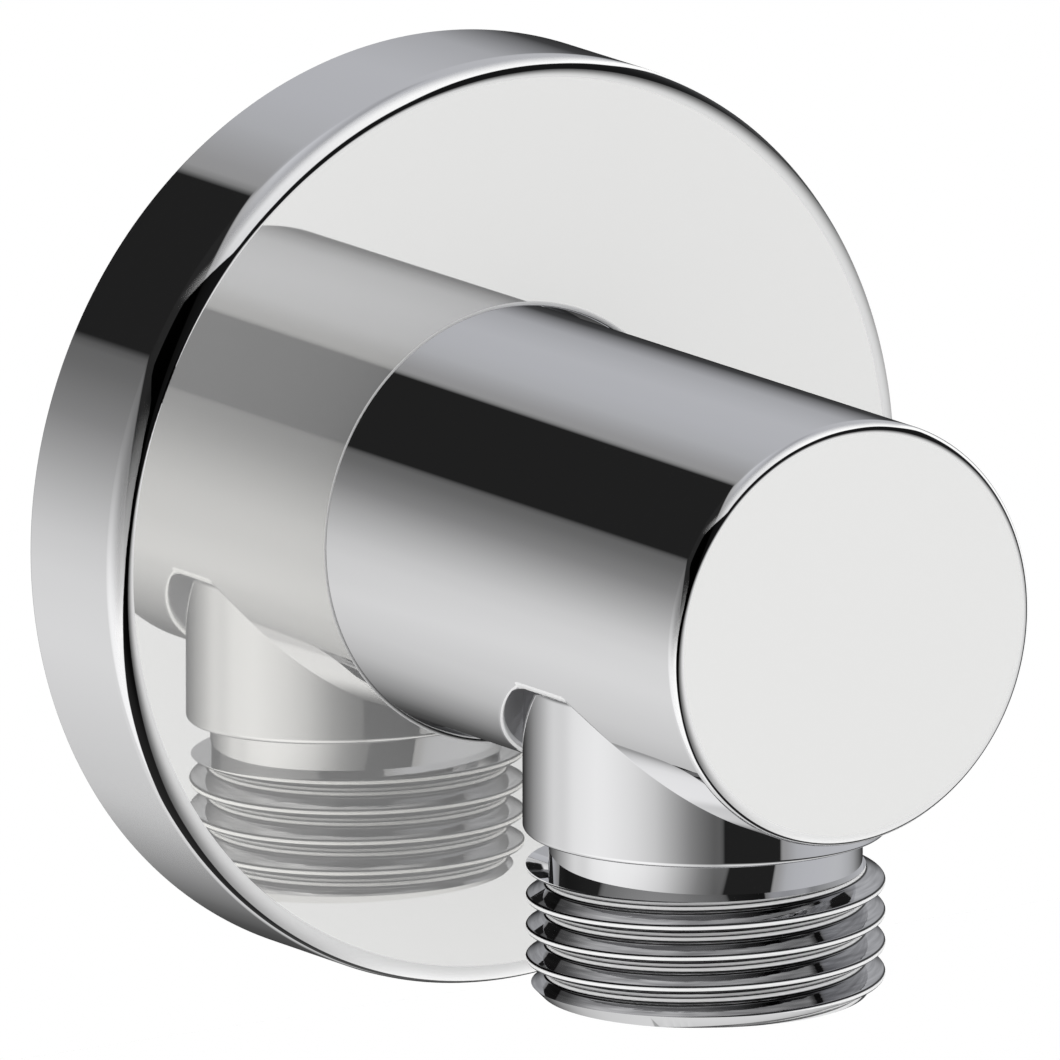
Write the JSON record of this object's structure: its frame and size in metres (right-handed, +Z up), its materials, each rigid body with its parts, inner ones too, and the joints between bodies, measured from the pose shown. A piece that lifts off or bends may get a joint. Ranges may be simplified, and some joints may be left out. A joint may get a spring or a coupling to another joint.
{
  "type": "wall outlet elbow",
  "caption": "Chromed wall outlet elbow for a shower hose, with a round wall plate, a straight cylindrical body and a threaded outlet below that holds a non-return valve.",
  "frame": {"origin": "where the body's axis meets the finished wall's face", "axes": "+Y into the wall, -Y out of it along the body, +Z up, with the outlet pointing down"},
  "size_m": [0.055, 0.058, 0.055],
  "materials": {
    "chrome": "polished",
    "brass": "machined",
    "steel": "bright",
    "black_rubber": "smooth",
    "foam_rubber": "matt",
    "white_plastic": "moulded",
    "poppet_plastic": "moulded"
  },
  "bodies": {
    "fitting": {"escutcheon": "chrome", "outlet_body": "chrome", "outlet_nipple": "chrome", "wall_nipple": "brass", "sleeve_oring_front": "black_rubber", "sleeve_oring_rear": "black_rubber", "escutcheon_oring": "black_rubber", "nipple_oring": "black_rubber", "wall_gasket": "foam_rubber", "grub_screw": "steel", "valve_housing": "white_plastic", "cartridge_oring": "black_rubber", "valve_guide": "white_plastic", "valve_spring": "steel"},
    "poppet": {"valve_poppet": "poppet_plastic", "poppet_seal": "black_rubber"}
  },
  "joints": [
    {"name": "valve_open", "type": "slide", "parent": "fitting", "child": "poppet", "axis": [0, 0, -1], "range_m": [0, 0.0024], "stiffness_N_per_m": 60, "springref_m": -0.003, "deforming": ["valve_spring"]}
  ]
}
